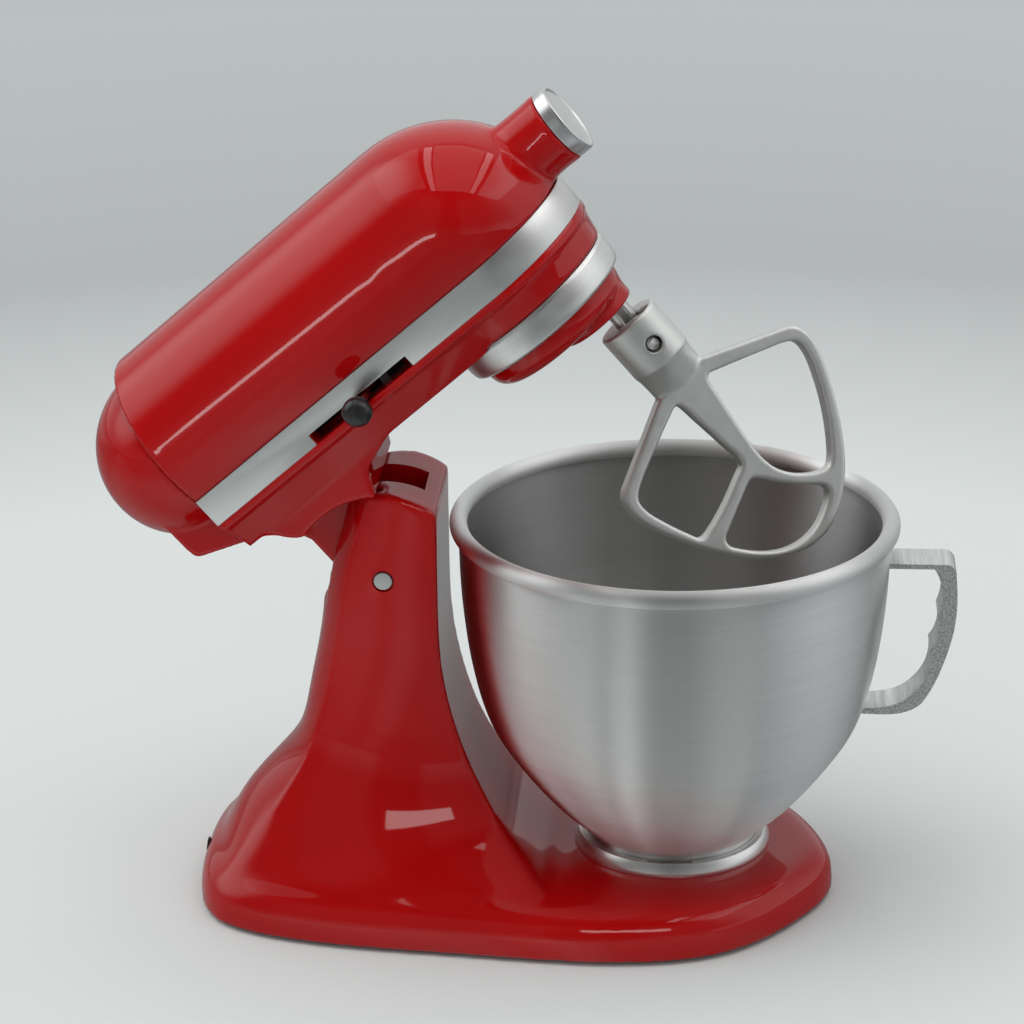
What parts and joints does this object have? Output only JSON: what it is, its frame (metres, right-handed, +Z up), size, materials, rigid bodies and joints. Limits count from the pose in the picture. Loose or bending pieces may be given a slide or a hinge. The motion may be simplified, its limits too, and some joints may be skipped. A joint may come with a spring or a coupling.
{
  "type": "tilt-head stand mixer",
  "caption": "Kitchen stand mixer with a tilting motor head, planetary flat beater, bayonet steel bowl with a grip handle, sliding levers and an attachment hub.",
  "frame": {"origin": "centre of the whole object's box in plan, on the worktop under the feet", "axes": "+X forwards from the column to the bowl and its handle, +Z up, +Y to the side with the speed lever"},
  "size_m": [0.4365, 0.228, 0.4257],
  "materials": {
    "red_enamel": "glossy enamel",
    "trim_metal": "brushed lengthwise",
    "bowl_steel": "brushed and polished",
    "handle_metal": "satin cast",
    "beater_metal": "burnished cast",
    "bright_metal": "polished",
    "shaft_steel": "ground",
    "gear_steel": "oiled",
    "bronze": "machined",
    "copper": "lacquered wire and bare bars",
    "black_plastic": "glossy",
    "dark_plastic": "matt",
    "bracket_metal": "die cast",
    "rubber": "matt"
  },
  "bodies": {
    "stand": {"pedestal": "red_enamel", "base_plate": "dark_plastic", "rubber_feet": "rubber", "hinge_pin": "shaft_steel", "pin_set_screw": "shaft_steel", "cord_gland": "rubber", "clamp_ring": "bowl_steel", "clamp_ring_screws": "shaft_steel"},
    "bowl": {"bowl": "bowl_steel", "bowl_handle": "handle_metal"},
    "head": {"motor_housing": "red_enamel", "gearcase": "red_enamel", "trim_band": "trim_metal", "rear_cover": "red_enamel", "rear_cover_screw": "shaft_steel", "drip_ring": "trim_metal", "ring_gear": "gear_steel", "centre_bearing": "shaft_steel", "hub_bush": "bronze", "motor_field": "gear_steel", "field_coils": "copper", "brushes": "dark_plastic", "brush_holders": "bronze", "rear_bracket": "bracket_metal", "rear_bearing": "shaft_steel", "gear_bracket": "bracket_metal", "front_bearing": "shaft_steel"},
    "planetary": {"planet_carrier": "red_enamel", "shaft_bushes": "bronze", "centre_shaft": "shaft_steel", "centre_gear": "gear_steel", "centre_bevel_gear": "gear_steel"},
    "shaft": {"beater_shaft": "shaft_steel", "shaft_pin": "shaft_steel", "planet_pinion": "gear_steel"},
    "beater": {"flat_beater": "beater_metal"},
    "jack": {"jack_shaft": "shaft_steel", "jack_pinion": "gear_steel", "worm_wheel": "bronze"},
    "rotor": {"armature": "gear_steel", "armature_shaft": "shaft_steel", "commutator": "copper", "cooling_fan": "dark_plastic", "worm": "gear_steel"},
    "hub_drive": {"hub_drive_shaft": "shaft_steel", "hub_bevel_gear": "gear_steel"},
    "hub_cap": {"hub_cap": "bright_metal"},
    "hub_knob": {"hub_knob": "black_plastic"},
    "lock_lever": {"lock_lever": "shaft_steel", "lock_knob": "black_plastic"},
    "lock_bolt": {"lock_bolt": "shaft_steel"},
    "speed_lever": {"speed_lever": "shaft_steel", "speed_knob": "black_plastic"}
  },
  "joints": [
    {"name": "head_tilt", "type": "hinge", "parent": "stand", "child": "head", "pos_m": [-0.0701, 0, 0.1812], "axis": [0, -1, 0], "range_deg": [-40.84, 0]},
    {"name": "bowl_twist", "type": "hinge", "parent": "stand", "child": "bowl", "pos_m": [0.0749, 0, 0.03], "axis": [0, 0, 1], "range_deg": [0, 30]},
    {"name": "planetary_spin", "type": "hinge", "parent": "head", "child": "planetary", "pos_m": [0.01374, 0, 0.30655], "axis": [-0.6539, 0, 0.7565], "continuous": true},
    {"name": "beater_spin", "type": "hinge", "parent": "planetary", "child": "shaft", "pos_m": [0.03553, 0, 0.32538], "axis": [-0.6539, 0, 0.7565], "continuous": true},
    {"name": "beater_lock", "type": "hinge", "parent": "shaft", "child": "beater", "pos_m": [0.06169, 0, 0.29512], "axis": [-0.6539, 0, 0.7565], "range_deg": [-40, 0]},
    {"name": "jack_spin", "type": "hinge", "parent": "head", "child": "jack", "pos_m": [-0.0615, 0.0295, 0.32081], "axis": [-0.6539, 0, 0.7565], "continuous": true},
    {"name": "armature_spin", "type": "hinge", "parent": "head", "child": "rotor", "pos_m": [-0.07099, 0, 0.33178], "axis": [0.7565, 0, 0.6539], "continuous": true},
    {"name": "hub_spin", "type": "hinge", "parent": "head", "child": "hub_drive", "pos_m": [-0.0088, 0, 0.38553], "axis": [0.7565, 0, 0.6539], "continuous": true},
    {"name": "lock_lever_slide", "type": "slide", "parent": "head", "child": "lock_lever", "axis": [0.7565, 0, 0.6539], "range_m": [-0.025, 0.025]},
    {"name": "lock_bolt_slide", "type": "slide", "parent": "head", "child": "lock_bolt", "axis": [-0.6539, 0, 0.7565], "range_m": [-0.008, 0.008]},
    {"name": "speed_lever_slide", "type": "slide", "parent": "head", "child": "speed_lever", "axis": [0.7565, 0, 0.6539], "range_m": [0, 0.05]},
    {"name": "hub_cap_pull", "type": "slide", "parent": "head", "child": "hub_cap", "axis": [0.7565, 0, 0.6539], "range_m": [0, 0.02]},
    {"name": "hub_knob_turn", "type": "hinge", "parent": "head", "child": "hub_knob", "pos_m": [0.0086, 0.02, 0.40058], "axis": [0, 1, 0], "continuous": true}
  ],
  "couplings": [
    {"joint": "beater_spin", "follows": "planetary_spin", "ratio": -4},
    {"joint": "jack_spin", "follows": "planetary_spin", "ratio": -3},
    {"joint": "armature_spin", "follows": "planetary_spin", "ratio": 90},
    {"joint": "hub_spin", "follows": "planetary_spin", "ratio": 1},
    {"joint": "lock_bolt_slide", "follows": "lock_lever_slide", "ratio": 0.32}
  ]
}
